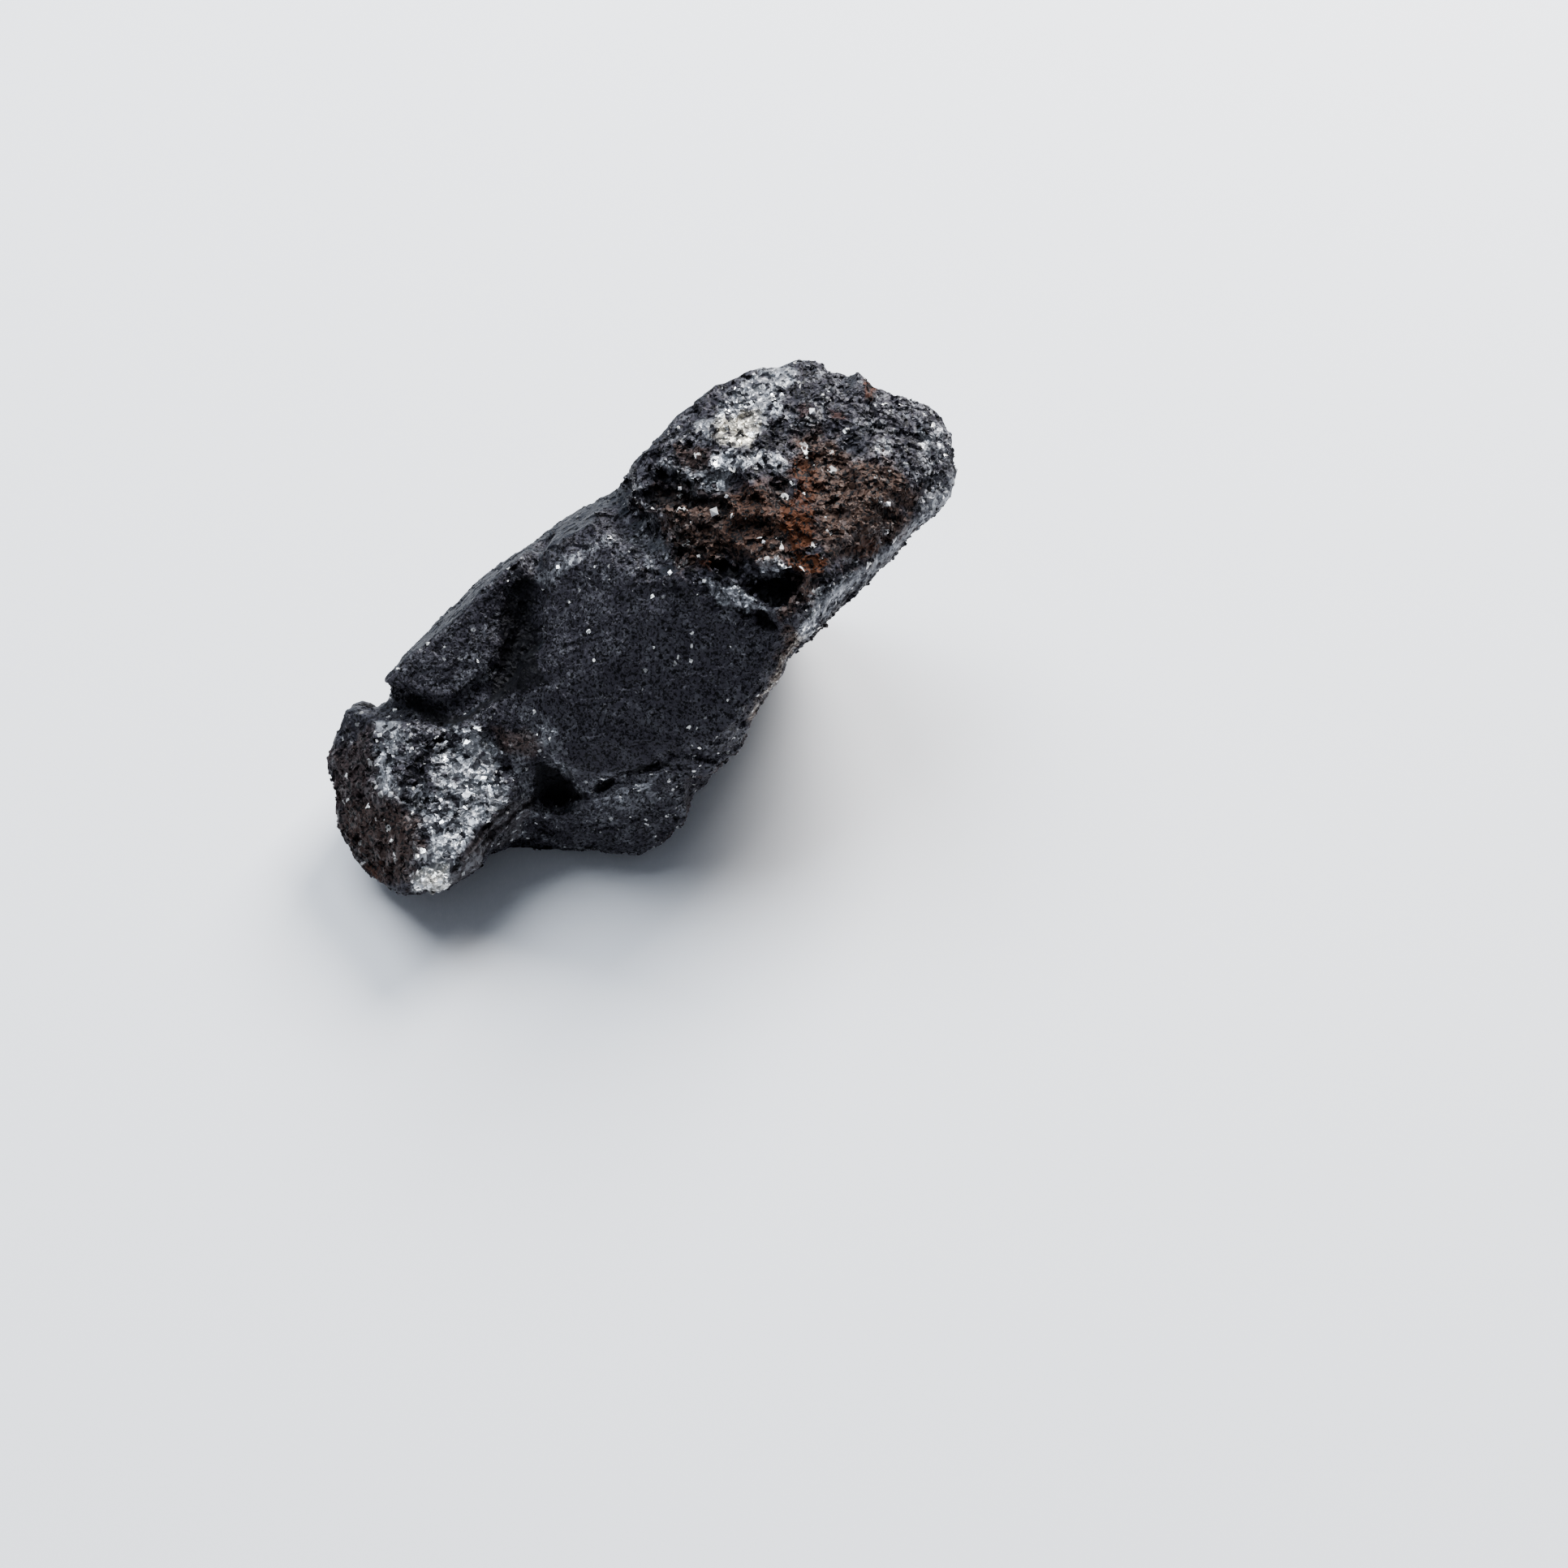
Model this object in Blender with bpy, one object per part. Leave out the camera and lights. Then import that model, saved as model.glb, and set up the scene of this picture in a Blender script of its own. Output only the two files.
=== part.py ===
"""A hand specimen of magnetite ore: one broken block of granular black iron ore, in metres, +Z up.

The block is about 66 mm long and lies on a flat parting face. A thick knob stands at its right end, a blunt
nose at its left, and a broad dark parting face slopes to the front between them. It grew as one piece, so it
is one solid. X runs along the block, Y from its front to its back, and the origin is the middle of its base.
"""

import bmesh
import bpy
import numpy as np
from mathutils import Matrix, Vector, noise

MM = 0.001

# Driving dimensions, in millimetres
MESH_SIZE = 0.6  # the size of the even mesh in which the relief is worked
TRIANGLES = 9400  # the finished block's budget of faces
BASE_CUT = 1.1  # the height, above the lowest corners below, of the flat face on which it lies

# The ore parts along two smooth planes: the broad face to the front, and the long flank at the back left
BROAD_FACE = Vector((-0.35, -0.68, 0.64)).normalized()
FLANK = Vector((-0.64, 0.47, 0.61)).normalized()

# The knob's ledges, which step up from the broad face to the crown
UP_THE_LEDGES = Vector((0.6, 0.78, 0.1)).normalized()
LEDGE_STEP = 3.3
LEDGE_HEIGHT = 0.75
LEDGES_MIDDLE = Vector((-7, 5, 35))
LEDGES_REACH = 8

# The masses of the block, each the convex hull of its own corners (x, y, z in millimetres)
MASSES = {
    # the middle: the broad dark face above, the left flank behind it and the undercut front below
    "core": [
        (-24.5, 9.6, 28.6), (-19.2, 10.8, 31.2), (-9.4, 1.5, 32.8), (0, -3.8, 31), (-1.2, -5.6, 28.6),
        (-2.6, -7.6, 26.6), (-5, -10, 22.6), (-7.4, -10.8, 16), (-12, -9.9, 15.4), (-17, -10.4, 14.2),
        (1.6, -5.4, 27.4), (-1.6, -7.2, 22.6), (-5, -9.2, 18.6), (-6, -9.8, 14.6),
        (-19.4, -11, 14), (-25.4, -8.4, 17.4), (-28.4, -2.8, 20), (-26.6, 4.4, 23),
        (-24, 22.6, 20), (-17, 22, 24.6), (-27, 20, 8), (-20, 20, 0), (-3, 20, 0), (-5.4, 10.4, 0),
        (-9, 4, 0), (-11, -2, 0), (-24, -5, 0), (-8, -4, 10),
    ],
    # the low apron that runs from the broad face to the nose
    "apron": [
        (-33.9, -5, 17.2), (-28.4, -2.8, 20.4), (-26, 0, 21.2), (-21, -8, 17.4), (-25.2, -8.8, 17.3),
        (-20, -11, 13.6), (-34, 0, 8), (-20, 0, 8), (-24, -8, 10), (-30, -8, 12),
    ],
    # the left shoulder, between the flank and the dark hollow beside the broad face
    "shoulder": [
        (-26.8, 9.2, 27.4), (-30.6, 7.4, 25.4), (-36.4, 3, 22.2), (-42.2, -0.9, 18.8), (-39, -2.8, 17.8),
        (-34.9, -4, 17.4), (-29, -1.2, 20), (-26.4, 4.8, 23.8),
        (-43.2, 6, 12), (-34, 17, 15), (-24, 22.6, 20), (-40, 9, 2), (-28, 16, 0), (-36, -4, 2), (-24, 0, 2),
    ],
    # the nose: a bright broken face to the front and a brown weathered one to the left
    "nose": [
        (-46.5, -1.4, 15), (-43.6, -1.8, 16.8), (-38.6, -4.2, 17.8), (-34.7, -5.4, 18.2), (-30.2, -5.5, 18),
        (-27.4, -6.4, 17.4), (-25.6, -8.4, 15.8), (-25.8, -11.6, 14), (-27.2, -13, 15),
        (-29.6, -15.4, 14.3), (-31.6, -17.3, 13.3), (-33, -20.4, 12.2), (-34, -22.1, 11.6),
        (-36.4, -21.2, 10.8), (-32.4, -20.4, 9.6), (-33.4, -20.9, 9), (-35.2, -20.4, 8), (-30.8, -15.8, 7),
        (-42.4, -5, 16.4), (-39.2, -12.4, 14.9), (-37, -16.4, 13.1),
        (-25.6, -9.6, 11), (-28.3, -11.9, 6.8), (-31.2, -14.4, 6), (-33.5, -15.5, 6), (-37.8, -14.8, 3),
        (-48.8, -4.6, 11.2), (-48.2, -9.2, 7.4), (-46.4, -13.2, 4.8), (-44, -15.7, 3.9),
        (-45, 3, 12), (-42, 6, 2), (-40, -12, 0), (-32, -10, 0), (-24, -4, 0), (-26, -4, 10), (-38, 4, 0),
    ],
    # the low lump that stands out under the broad face
    "lump": [
        (-23.4, -11, 11.6), (-19.6, -11.4, 12.8), (-16, -10.6, 14), (-11.4, -10, 14.4), (-8.6, -10.6, 11),
        (-9, -10.9, 8), (-10.6, -11.6, 5.6), (-16.1, -13.4, 3.8), (-22.3, -11.4, 4), (-30.6, -10.6, 4),
        (-27, -10.9, 8), (-28, 0, 2), (-11, -1, 2), (-9, -4, 11), (-24, -2, 11), (-24, -9, 0), (-15, -9.5, 0),
    ],
    # the knob at the right end: its broken face rises in ledges from the broad face to the rusty crown
    "knob": [
        (-15.4, 11.8, 32.8), (-9.9, 2.2, 33.4), (-2.8, -2.6, 33), (1.6, -5, 31.8), (2.2, -4, 29.6),
        (-15.6, 15.9, 34.4), (-10.4, 22, 36), (-6.6, 25.2, 36.8), (-1.6, 28.6, 36.8), (5.8, 28.6, 36.4),
        (-7, 20, 37.6), (-4.6, 13, 38.2), (-1, 4.6, 37.8), (2.8, 0, 35.8),
        (8.2, 19.8, 38.4), (12.3, 10.8, 36.4),
        (11.4, 25.8, 36.2), (15.8, 23.2, 35.6), (17.9, 20.2, 34.2), (19, 17.1, 32.2), (18, 15, 30.6),
        (14.8, 10.6, 32.6), (9, 4, 32.8), (4.4, 0.2, 32.6),
        (13.6, 11.4, 29.6), (8.8, 5.2, 28.8), (4, 0, 28.6), (2.4, -3.4, 27.4),
        (-18.2, 21, 24.6), (-12, 27, 20), (2, 29.6, 22), (13, 27, 24), (17, 22, 28),
        (1, 4.4, 20), (3.6, 8, 20), (9, 15.4, 20), (13.4, 24, 20), (2, 19, 8), (6, 26, 8),
        (-14, 25, 0), (0, 25.6, 0), (-5, 11, 0), (-3, 0, 18),
    ],
    # the broad foot that joins them all underneath
    "foot": [
        (-41, -10, 0), (-44, 0, 3), (-41, 7, 2), (-30, 16, 0), (-15, 25, 0), (0, 25.6, 0),
        (-5, 11, 0), (-9, 4, 0), (-11, -5, 0), (-15, -10, 0), (-30, -10.4, 0),
        (-40, -6, 8), (-38, 6, 9), (-26, 17, 10), (-6, 23, 8),
        (-6, 12, 8), (-10, 2, 7), (-12, -8, 6), (-28, -9, 6),
    ],
    # a short rib on the knob's far rim
    "rib": [
        (6.8, 27, 36), (8, 27.6, 37.6), (9.6, 26.6, 37.4), (10.2, 26, 35),
        (7, 21.4, 38.6), (9.2, 21, 38.6), (8.4, 23, 34),
    ],
    # a thin flake left standing between the nose and the lump
    "flake": [
        (-27.6, -12.2, 7.6), (-23.6, -11.9, 11.8), (-22.8, -11.2, 12.6), (-25, -10.2, 12.2),
        (-28.4, -11, 9.4), (-24, -8, 7), (-28, -9, 5),
    ],
}

# The three-sided pit between the nose, the broad face and the lump
PIT = [
    (-25.4, -8.6, 19.4), (-18.4, -12.8, 14.8), (-26.4, -12.6, 12.8),
    (-24.4, -9, 9.4), (-22.4, -9.6, 9), (-23.4, -7.6, 10),
]

# Open cracks and the slots under the ledges: points along the mouth, the way in, then width and depth
DOWN_BACK = Vector((0.1, 0.62, -0.78))
UNDER_LEDGE = Vector((0.45, 0.75, -0.45))
GROOVE = [
    (-44.2, -0.7, 17.2), (-37.5, -2.5, 17.6), (-34.7, -3.9, 17.6), (-28.6, -1, 20.4), (-26.4, 4.4, 23.6),
]
HOLLOW = [(-26.6, 1.4, 22.2), (-26.2, 5, 24), (-26, 8.6, 27.6)]
FRONT_CRACK = [(-20.4, -10.9, 13.2), (-16.1, -9.6, 14.6), (-11.2, -9.6, 15.2)]
NOSE_CRACK = [(-34.9, -5.8, 17.9), (-37.4, -8.2, 17), (-38, -9, 16.6)]
FLANK_CRACK = [(-24.6, 9.8, 28.4), (-20.4, 12.6, 29.4), (-18.4, 14.2, 30)]
UPPER_SLOT = [(-13, 13.4, 36), (-9.6, 11.6, 36.2), (-6.2, 10.2, 36.6)]
MIDDLE_SLOT = [(-7.4, 3, 35), (-3.2, 1.4, 35.2)]
LOWER_SLOT = [(-3.4, 0.6, 34.6), (0.8, -0.8, 34.4)]
CRACKS = {
    "groove": (GROOVE, DOWN_BACK, 1.9, 3.2),
    "hollow": (HOLLOW, Vector((0.3, 0.5, -0.8)), 3.6, 1.8),
    "front crack": (FRONT_CRACK, Vector((0.1, 0.9, -0.3)), 1.1, 2.6),
    "nose crack": (NOSE_CRACK, DOWN_BACK, 1.2, 1.8),
    "flank crack": (FLANK_CRACK, Vector((0.7, -0.3, -0.65)), 0.9, 1.8),
    "upper slot": (UPPER_SLOT, UNDER_LEDGE, 2.2, 3.6),
    "middle slot": (MIDDLE_SLOT, UNDER_LEDGE, 1.6, 3),
    "lower slot": (LOWER_SLOT, UNDER_LEDGE, 2.2, 3.8),
}

# The relief of a broken surface: the sizes of its flat chips, and how far each size stands out
CHIPS = [(9, 0.7), (4.6, 0.45), (2.4, 0.22)]
SWELL = 0.55


def clear_scene():
    for obj in list(bpy.data.objects):
        bpy.data.objects.remove(obj, do_unlink=True)


def hull(name, corners):
    """A closed convex solid on these corners, given in millimetres."""
    work = bmesh.new()
    for corner in corners:
        work.verts.new(Vector(corner) * MM)
    made = bmesh.ops.convex_hull(work, input=work.verts)
    inside = {v for v in made["geom_interior"] if isinstance(v, bmesh.types.BMVert)}
    bmesh.ops.delete(work, geom=list(inside), context="VERTS")
    bmesh.ops.recalc_face_normals(work, faces=work.faces)
    mesh = bpy.data.meshes.new(name)
    work.to_mesh(mesh)
    work.free()
    obj = bpy.data.objects.new(name, mesh)
    bpy.context.scene.collection.objects.link(obj)
    return obj


def settle(obj):
    """Replaces the object's mesh by what its modifiers make of it."""
    bpy.context.view_layer.update()
    graph = bpy.context.evaluated_depsgraph_get()
    obj.data = bpy.data.meshes.new_from_object(obj.evaluated_get(graph))
    obj.modifiers.clear()


def boolean(obj, other, operation):
    """Joins another solid to this one, or cuts it away."""
    modifier = obj.modifiers.new(other.name, "BOOLEAN")
    modifier.operation = operation
    modifier.object = other
    settle(obj)
    bpy.data.objects.remove(other, do_unlink=True)


def wedge(name, start, end, into, width, depth):
    """A cutter with a wide mouth from start to end, that narrows to an edge at its full depth."""
    start, end, into = Vector(start), Vector(end), into.normalized()
    along = (end - start).normalized()
    across = along.cross(into).normalized() * (width / 2)
    overlap = along * (width / 4)
    mouth = [p + side * across * 1.6 - into * depth * 0.6 for p in (start, end) for side in (-1, 1)]
    lips = [p + side * across for p in (start - overlap, end + overlap) for side in (-1, 1)]
    edge = [start + into * depth, end + into * depth]
    return hull(name, mouth + lips + edge)


def rough_block():
    """The masses joined, less what has broken away, as one even mesh."""
    block = hull("magnetite_block", MASSES["core"])
    for name, corners in MASSES.items():
        if name != "core":
            boolean(block, hull(name, corners), "UNION")
    boolean(block, hull("pit", PIT), "DIFFERENCE")
    for name, (mouth, into, width, depth) in CRACKS.items():
        for start, end in zip(mouth, mouth[1:]):
            boolean(block, wedge(name, start, end, into, width, depth), "DIFFERENCE")
    return block


def even_mesh(block):
    """One closed skin of small even faces round the whole block."""
    remesh = block.modifiers.new("even mesh", "REMESH")
    remesh.mode = "VOXEL"
    remesh.voxel_size = MESH_SIZE * MM
    settle(block)
    keep_largest_skin(block)


def keep_largest_skin(block):
    """Deletes the small closed bubbles that a fold in the relief leaves inside."""
    work = bmesh.new()
    work.from_mesh(block.data)
    unseen = set(work.verts)
    skins = []
    while unseen:
        front = [unseen.pop()]
        skin = set(front)
        while front:
            beside = {e.other_vert(v) for v in front for e in v.link_edges} & unseen
            unseen -= beside
            skin |= beside
            front = list(beside)
        skins.append(skin)
    skins.sort(key=len)
    for skin in skins[:-1]:
        bmesh.ops.delete(work, geom=list(skin), context="VERTS")
    work.to_mesh(block.data)
    work.free()


def facets(point, size):
    """The lowest of the tilted planes round a point, from about -1 to 1: flat chips that meet in creases."""
    heights = []
    for centre in noise.voronoi(point / size)[1]:
        tilt = noise.cell_vector(centre * 7.31) - Vector((0.5, 0.5, 0.5))
        heights.append(tilt.z * 0.7 + (point / size - centre).dot(tilt) * 1.6)
    return min(heights)


def ledges(point):
    """Steps down the knob's broken face: each rises slowly to a brow, then drops into the recess under it."""
    wander = noise.noise(point / 7) * 2.4
    steps = (point.dot(UP_THE_LEDGES) + wander) / LEDGE_STEP
    place = min(1, max(0, 1.6 - (point - LEDGES_MIDDLE).length / LEDGES_REACH))
    return place * (1 - 2 * (steps % 1)) * LEDGE_HEIGHT


def relief(point, normal):
    """How far the broken surface stands out at a point of the rough block, in millimetres."""
    parted = max(normal.dot(BROAD_FACE), normal.dot(FLANK))
    roughness = 1 - 0.7 * min(1, max(0, (parted - 0.8) / 0.15))
    swell = noise.fractal(point * 0.13, 0.9, 2.1, 3) * SWELL
    chips = sum(facets(point, size) * height for size, height in CHIPS)
    return swell * (0.4 + 0.6 * roughness) + chips * roughness + ledges(point)


def carve_relief(block):
    work = bmesh.new()
    work.from_mesh(block.data)
    work.normal_update()
    moved = [v.co + v.normal * (relief(v.co / MM, v.normal) * MM) for v in work.verts]
    for vert, place in zip(work.verts, moved):
        vert.co = place
    work.to_mesh(block.data)
    work.free()


def lighten(block):
    """Fewer faces, most of them where the surface bends."""
    decimate = block.modifiers.new("fewer faces", "DECIMATE")
    count = sum(len(p.vertices) - 2 for p in block.data.polygons)
    decimate.ratio = min(1.0, TRIANGLES / count)
    decimate.use_collapse_triangulate = True
    settle(block)


def cut_base(block):
    """The flat parting face on which the block lies."""
    reach = (-100, 100)
    slab = [(x, y, z) for x in reach for y in reach for z in (-10, BASE_CUT)]
    boolean(block, hull("below the base", slab), "DIFFERENCE")


def centre_on_base(block):
    points = np.array([v.co for v in block.data.vertices])
    low, high = points.min(axis=0), points.max(axis=0)
    middle = (low + high) / 2
    block.data.transform(Matrix.Translation((-middle[0], -middle[1], -low[2])))


def magnetite():
    """Blue-black ore with the dull shine of a broken metallic mineral."""
    material = bpy.data.materials.new("magnetite")
    material.use_nodes = True
    shader = material.node_tree.nodes["Principled BSDF"]
    shader.inputs["Base Color"].default_value = (0.075, 0.078, 0.088, 1)
    shader.inputs["Metallic"].default_value = 0.7
    shader.inputs["Roughness"].default_value = 0.5
    return material


clear_scene()
block = rough_block()
even_mesh(block)
carve_relief(block)
even_mesh(block)
lighten(block)
cut_base(block)
centre_on_base(block)
block.data.materials.append(magnetite())
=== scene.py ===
"""The looks of a magnetite specimen: a broken block of black iron ore made up of glittering grains."""

import math

import bmesh
import bpy
import numpy as np
from mathutils import Euler, Matrix, Vector, noise
from mathutils.bvhtree import BVHTree


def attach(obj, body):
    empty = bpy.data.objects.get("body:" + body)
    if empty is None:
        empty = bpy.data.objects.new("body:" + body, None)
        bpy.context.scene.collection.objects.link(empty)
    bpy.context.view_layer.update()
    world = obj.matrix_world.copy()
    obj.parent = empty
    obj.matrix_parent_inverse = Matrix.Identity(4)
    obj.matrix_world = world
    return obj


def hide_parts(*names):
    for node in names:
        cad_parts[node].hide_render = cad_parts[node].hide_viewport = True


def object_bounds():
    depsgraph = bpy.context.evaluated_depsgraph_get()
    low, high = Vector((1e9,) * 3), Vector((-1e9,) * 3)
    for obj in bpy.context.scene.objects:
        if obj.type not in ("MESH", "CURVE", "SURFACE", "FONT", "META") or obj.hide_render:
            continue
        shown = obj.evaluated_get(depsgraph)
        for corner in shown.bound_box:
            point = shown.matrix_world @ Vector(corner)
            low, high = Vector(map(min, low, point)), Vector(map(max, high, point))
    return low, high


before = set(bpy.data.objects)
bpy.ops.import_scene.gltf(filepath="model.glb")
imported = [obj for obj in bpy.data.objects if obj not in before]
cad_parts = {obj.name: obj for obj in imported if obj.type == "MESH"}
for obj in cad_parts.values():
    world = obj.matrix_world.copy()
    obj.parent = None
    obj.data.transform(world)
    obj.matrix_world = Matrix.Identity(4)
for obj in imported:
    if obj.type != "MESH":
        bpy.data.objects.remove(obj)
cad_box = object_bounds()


# The camera looks down on the stone from the front, as the photograph does. Whatever the photograph shows on
# the stone is placed by its pixels: sight() turns a pixel into the line along which it was seen.
PHOTO_PIXELS = 1932
VIEW_ANGLE = math.radians(45)
CAMERA_DISTANCE = 0.210
CAMERA_ELEVATION = math.radians(55)
LOOKED_AT = Vector((0.015026, -0.004205, -0.0011))
PIXEL_REACH = math.tan(VIEW_ANGLE / 2) / (PHOTO_PIXELS / 2)

camera = bpy.data.objects.new("camera", bpy.data.cameras.new("camera"))
camera.data.angle = VIEW_ANGLE
camera.data.clip_start = 0.01
toward_camera = Vector((0, -math.cos(CAMERA_ELEVATION), math.sin(CAMERA_ELEVATION)))
camera.location = LOOKED_AT + toward_camera * CAMERA_DISTANCE
camera.rotation_euler = (math.pi / 2 - CAMERA_ELEVATION, 0, 0)
bpy.context.scene.collection.objects.link(camera)
bpy.context.scene.camera = camera


def sight(across, down):
    """The direction in which the camera sees a pixel of the photograph."""
    half = PHOTO_PIXELS / 2
    line = Vector(((across - half) * PIXEL_REACH, (half - down) * PIXEL_REACH, -1))
    return camera.rotation_euler.to_matrix() @ line.normalized()


# The skin of the stone is the ore's own broken surface. It is the CAD solid, cut finer and with its small
# steps and chips added, and it lies a little inside the solid, because the grains stand on it.
MM = 0.001
SKIN_MESH = 0.2 * MM
SKIN_TRIANGLES = 190000
SKIN_SINK = 0.12  # millimetres
SOFTENING = 12  # rounds of smoothing that take the facets' edges off
BROAD_SOFTENING = 144  # rounds that leave only the large forms, so that hollows and edges stand out from them
FLANK = Vector((-0.64, 0.47, 0.61)).normalized()  # where the parted face behind the crest looks
BROAD_FACE = Vector((-0.35, -0.68, 0.64)).normalized()


def new_object(name, mesh):
    obj = bpy.data.objects.new(name, mesh)
    bpy.context.scene.collection.objects.link(obj)
    return obj


def settle(obj):
    """Turns what an object's modifiers make of it into its own plain mesh."""
    bpy.context.view_layer.update()
    graph = bpy.context.evaluated_depsgraph_get()
    obj.data = bpy.data.meshes.new_from_object(obj.evaluated_get(graph))
    obj.modifiers.clear()


def places_of(mesh):
    places = np.empty(len(mesh.vertices) * 3, np.float32)
    mesh.vertices.foreach_get("co", places)
    return places.reshape(-1, 3).astype(float)


def move_to(mesh, places):
    """Puts a mesh's points at these places, none of them outside the CAD solid's box."""
    places = np.clip(places, cad_box[0], cad_box[1])
    mesh.vertices.foreach_set("co", places.astype(np.float32).ravel())
    mesh.update()


def normals_of(mesh):
    normals = np.empty(len(mesh.vertices) * 3, np.float32)
    mesh.vertex_normals.foreach_get("vector", normals)
    return normals.reshape(-1, 3).astype(float)


def triangles_of(mesh):
    return sum(len(p.vertices) - 2 for p in mesh.polygons)


def smoothed(obj, rounds):
    """Where an object's points lie once its surface has been evened out this many times."""
    smooth = obj.modifiers.new("smooth", "SMOOTH")
    smooth.iterations = rounds
    bpy.context.view_layer.update()
    places = places_of(obj.evaluated_get(bpy.context.evaluated_depsgraph_get()).data)
    obj.modifiers.remove(smooth)
    return places


def ramp(values, low, high):
    """0 up to low, 1 from high on, and a smooth rise between them."""
    share = np.clip((values - low) / (high - low), 0, 1)
    return share * share * (3 - 2 * share)


work = bmesh.new()
work.from_mesh(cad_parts["magnetite_block"].data)
bmesh.ops.remove_doubles(work, verts=work.verts, dist=1e-7)
skin = new_object("magnetite_skin", bpy.data.meshes.new("magnetite_skin"))
work.to_mesh(skin.data)
work.free()
remesh = skin.modifiers.new("even mesh", "REMESH")
remesh.mode = "VOXEL"
remesh.voxel_size = SKIN_MESH
settle(skin)
rough_places = smoothed(skin, SOFTENING)
broad_places = smoothed(skin, BROAD_SOFTENING)
move_to(skin.data, rough_places)
places = places_of(skin.data) / MM
normals = normals_of(skin.data)
# How far in mm each point lies under the large forms around it: above 0 in hollows, below 0 on edges
hollow = np.einsum("ij,ij->i", broad_places - rough_places, normals) / MM

surface = BVHTree.FromPolygons(places_of(skin.data), [p.vertices[:] for p in skin.data.polygons])
faces_camera = normals @ np.array(toward_camera)

# What keeps the edges of the zones from being smooth: a larger and a smaller wander, by their size in mm
LARGE_WANDER = 1.6
SMALL_WANDER = 0.55
wander = np.array([noise.noise(Vector(place) / LARGE_WANDER) + 0.7 * noise.noise(Vector(place) / SMALL_WANDER)
                   for place in places])

# The pixel of the photograph at which each point of the skin was seen
PIXELS_PER_MM = 12.3
seen = (places * MM - np.array(camera.location)) @ np.array(camera.rotation_euler.to_matrix())
across_and_down = np.column_stack((seen[:, 0], -seen[:, 1])) / -seen[:, 2:]
pixels_of = across_and_down / PIXEL_REACH + PHOTO_PIXELS / 2


def stroke(pixels, radius):
    """How much each point of the skin lies in a brush stroke: 1 along it, fading out at its radius in mm."""
    spots = []
    for across, down in pixels:
        line = sight(across, down)
        hit = surface.ray_cast(camera.location, line)[0]
        if hit is None:
            hit = surface.find_nearest(camera.location + line * CAMERA_DISTANCE)[0]
        spots.append(np.array(hit) / MM)
    nearest = np.full(len(places), np.inf)
    for start, end in zip(spots, spots[1:] or spots):
        along = end - start
        share = np.clip((places - start) @ along / max(along @ along, 1e-9), 0, 1)
        nearest = np.minimum(nearest, np.linalg.norm(places - start - share[:, None] * along, axis=1))
    return ramp(1 - nearest / radius + wander * 0.5, 0, 0.75)


def patch(corners, edge):
    """How much each point of the skin lies in an outline on the photograph, fading over an edge in mm."""
    nearest = np.full(len(places), np.inf)
    inside = np.zeros(len(places), bool)
    corners = np.array(corners, float)
    for start, end in zip(corners, np.roll(corners, -1, axis=0)):
        along = end - start
        share = np.clip((pixels_of - start) @ along / (along @ along), 0, 1)
        nearest = np.minimum(nearest, np.linalg.norm(pixels_of - start - share[:, None] * along, axis=1))
        crosses = (start[1] > pixels_of[:, 1]) != (end[1] > pixels_of[:, 1])
        meets = start[0] + (pixels_of[:, 1] - start[1]) * along[0] / (along[1] or 1e-9)
        inside ^= crosses & (pixels_of[:, 0] < meets)
    depth = np.where(inside, nearest, -nearest) / PIXELS_PER_MM
    return ramp(depth / edge + wander * 0.8, -0.5, 0.5) * ramp(faces_camera, 0.02, 0.25)


# The recesses and cracks, which are painted black, as painted shade and dirt, and also cut in below the face
# around them, and two parts of the stone that lie in more than one zone. All are given in pixels of the
# photograph.
UPPER_SLOT = [
    (805, 580), (832, 581), (850, 592), (868, 602), (880, 609), (893, 611), (900, 622), (893, 630),
    (872, 622), (840, 619), (815, 620), (796, 620), (788, 606), (800, 600), (812, 596),
]
LEFT_SLOT = [
    (822, 655), (836, 650), (842, 660), (862, 670), (870, 678), (860, 686), (850, 678), (840, 692),
    (832, 690), (828, 672),
]
LOWER_SLOT = [
    (868, 688), (886, 690), (902, 697), (912, 712), (904, 706), (896, 708), (898, 722), (893, 722),
    (888, 706), (876, 697),
]
CAVE = [
    (922, 716), (945, 719), (962, 715), (970, 712), (975, 722), (970, 738), (955, 742), (942, 737),
    (925, 722),
]
NOTCH = [(926, 757), (936, 754), (946, 766), (955, 775), (948, 776), (932, 764)]
NOSE_PIT = [(500, 946), (516, 944), (516, 962), (502, 962)]
NOSE_CRACK = [(546, 905), (512, 938), (504, 948)]
NOSE_SPLIT = [(494, 984), (512, 990), (536, 985)]
BEVEL_CRACK = [(636, 992), (600, 1022), (560, 1075)]
BEVEL_GROOVE = [(662, 986), (640, 1000), (600, 1040)]
CREST_CRACK = [(632, 700), (705, 648)]
LUMP_CREASE = [(690, 985), (740, 972), (790, 950), (812, 948)]
KNOB_CRACK = [(905, 650), (940, 640)]
SADDLE_CRACK = [(776, 560), (790, 548), (806, 560)]
RIGHT_CRACK = [(1080, 625), (1110, 640)]
EDGE_CRACK = [(985, 735), (1000, 760)]
BEVEL = [(632, 990), (662, 982), (640, 1030), (598, 1066), (575, 1092), (552, 1104), (575, 1045)]
LOWER_EDGE = [(975, 780), (996, 798), (970, 840), (940, 895), (925, 890), (955, 830)]

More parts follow.
